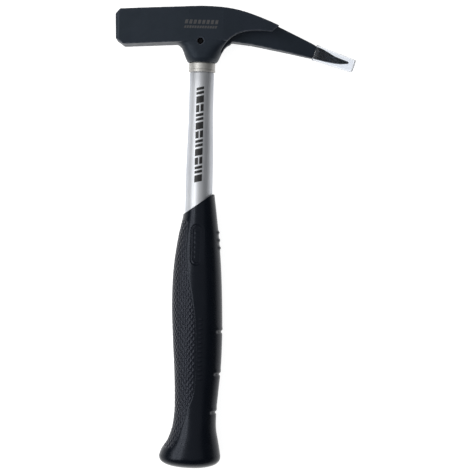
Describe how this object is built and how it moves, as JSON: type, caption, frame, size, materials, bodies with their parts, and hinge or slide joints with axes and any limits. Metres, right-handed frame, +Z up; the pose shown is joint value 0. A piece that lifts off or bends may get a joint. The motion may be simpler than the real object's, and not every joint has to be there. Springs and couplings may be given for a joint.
{
  "type": "brick hammer",
  "caption": "Brick and lath hammer with square poll, claw notch beside a long pointed spike, tubular steel handle, moulded rubber grip and clear pull-off guard on the tip.",
  "frame": {"origin": "centre of the bounding box at its base: the surface that the hammer lies on, near side up", "axes": "+Y along the handle from the butt to the head, +X from the striking face to the spike, +Z up through the side of the head that carries the claw prong"},
  "size_m": [0.1668, 0.3187, 0.0332],
  "materials": {
    "head_paint": "matte blue-black powder coat",
    "tube_steel": "satin, drawn lengthwise",
    "collar_metal": "dull warm grey",
    "bare_steel": "turned",
    "core_wood": "plain hardwood",
    "pin_steel": "blackened spring steel",
    "plug_plastic": "moulded",
    "grip_rubber": "satin with a diamond-cut palm side",
    "guard_plastic": "clear, flexible"
  },
  "bodies": {
    "hammer": {"hammer_head": "head_paint", "handle_tube": "tube_steel", "eye_collar": "collar_metal", "tube_expander": "bare_steel", "tube_core": "core_wood", "head_cross_pin": "pin_steel", "tube_end_plug": "plug_plastic", "rubber_grip": "grip_rubber"},
    "guard": {"tip_guard": "guard_plastic"}
  },
  "joints": [
    {"name": "guard_pull_off", "type": "slide", "parent": "hammer", "child": "guard", "axis": [0.9516, -0.3074, 0], "range_m": [0, 0.04]}
  ]
}
